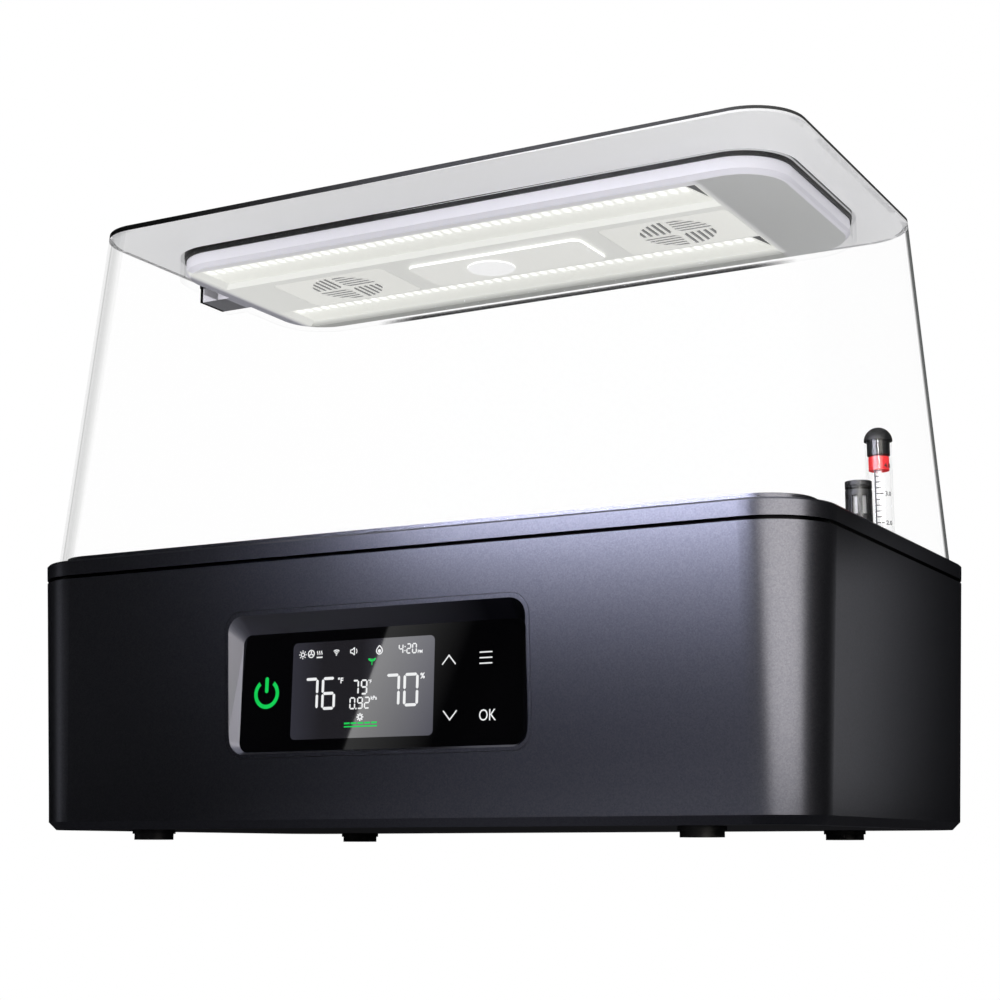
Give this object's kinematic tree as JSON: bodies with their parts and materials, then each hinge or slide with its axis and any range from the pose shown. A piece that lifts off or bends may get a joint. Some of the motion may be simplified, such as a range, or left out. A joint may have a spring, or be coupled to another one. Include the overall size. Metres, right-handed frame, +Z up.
{
  "type": "seed propagation dome",
  "caption": "Seed-starting station: metallic base with water tank, cell tray, control panel and float gauge under a clear lift-off dome with a light and fan module.",
  "frame": {"origin": "centre of the base's footprint on the table, under the feet", "axes": "+X to the right seen from the front, -Y towards the control panel's side, +Z up"},
  "size_m": [0.44, 0.268, 0.346],
  "materials": {
    "metallic_shell": "metallic navy-black paint with a fine sparkle",
    "black_plastic": "moulded black",
    "tray_plastic": "black, lightly textured",
    "tank_plastic": "dark grey, satin",
    "black_rubber": "soft black",
    "steel": "bright zinc or stainless",
    "heater_aluminium": "plain sheet",
    "bezel_black": "satin black",
    "panel_glass": "black printed cover glass, polished",
    "display": "backlit segment display",
    "circuit_board": "green solder mask",
    "clear_tube": "clear moulded tube",
    "float_white": "white moulding",
    "indicator_red": "signal red",
    "dome_clear": "clear moulded dome wall",
    "dome_frosted": "lightly frosted clear plate",
    "light_white": "white moulding",
    "led_warm_white": "warm white light-emitting chips"
  },
  "bodies": {
    "base": {"base_shell": "metallic_shell", "bottom_plate": "black_plastic", "rubber_feet": "black_rubber", "bottom_screws": "steel", "deck": "metallic_shell", "water_tank": "tank_plastic", "heat_plate": "heater_aluminium", "panel_bezel": "bezel_black", "panel_glass": "panel_glass", "display_module": "display", "control_board": "circuit_board", "power_inlet": "black_plastic", "light_outlet": "black_plastic", "gauge_tube": "clear_tube", "gauge_cap": "black_plastic", "probe_cage": "black_plastic", "probe_sensor": "float_white", "root_probe": "steel"},
    "float": {"float_bob": "float_white", "float_rod": "float_white", "float_indicator": "indicator_red"},
    "tray": {"tray_tub": "tray_plastic", "long_dividers": "tray_plastic", "cross_dividers": "tray_plastic"},
    "dome": {"dome_shell": "dome_clear", "dome_top": "dome_frosted"},
    "light": {"light_housing": "light_white", "light_cover": "light_white", "light_gasket": "black_rubber", "tab_cap": "black_plastic", "grille_left": "light_white", "grille_right": "light_white", "fan_frame_left": "black_plastic", "fan_frame_right": "black_plastic", "centre_plate": "light_white", "badge": "light_white", "led_board_front": "light_white", "led_board_back": "light_white", "led_chips_front": "led_warm_white", "led_chips_back": "led_warm_white", "driver_board": "circuit_board", "light_socket": "black_plastic", "light_screws": "steel"},
    "fan_left": {"impeller_left": "black_plastic"},
    "fan_right": {"impeller_right": "black_plastic"}
  },
  "joints": [
    {"name": "dome_lift", "type": "slide", "parent": "base", "child": "dome", "axis": [0, 0, 1], "range_m": [0, 0.25]},
    {"name": "light_lift", "type": "slide", "parent": "dome", "child": "light", "axis": [0, 0, 1], "range_m": [0, 0.06]},
    {"name": "fan_left_spin", "type": "hinge", "parent": "light", "child": "fan_left", "pos_m": [-0.10887, 0.009, 0.325], "axis": [0, 0, 1], "continuous": true},
    {"name": "fan_right_spin", "type": "hinge", "parent": "light", "child": "fan_right", "pos_m": [0.10085, 0.009, 0.325], "axis": [0, 0, 1], "continuous": true},
    {"name": "tray_lift", "type": "slide", "parent": "base", "child": "tray", "axis": [0, 0, 1], "range_m": [0, 0.02]},
    {"name": "float_rise", "type": "slide", "parent": "base", "child": "float", "axis": [0, 0, 1], "range_m": [-0.046, 0.0006]}
  ]
}
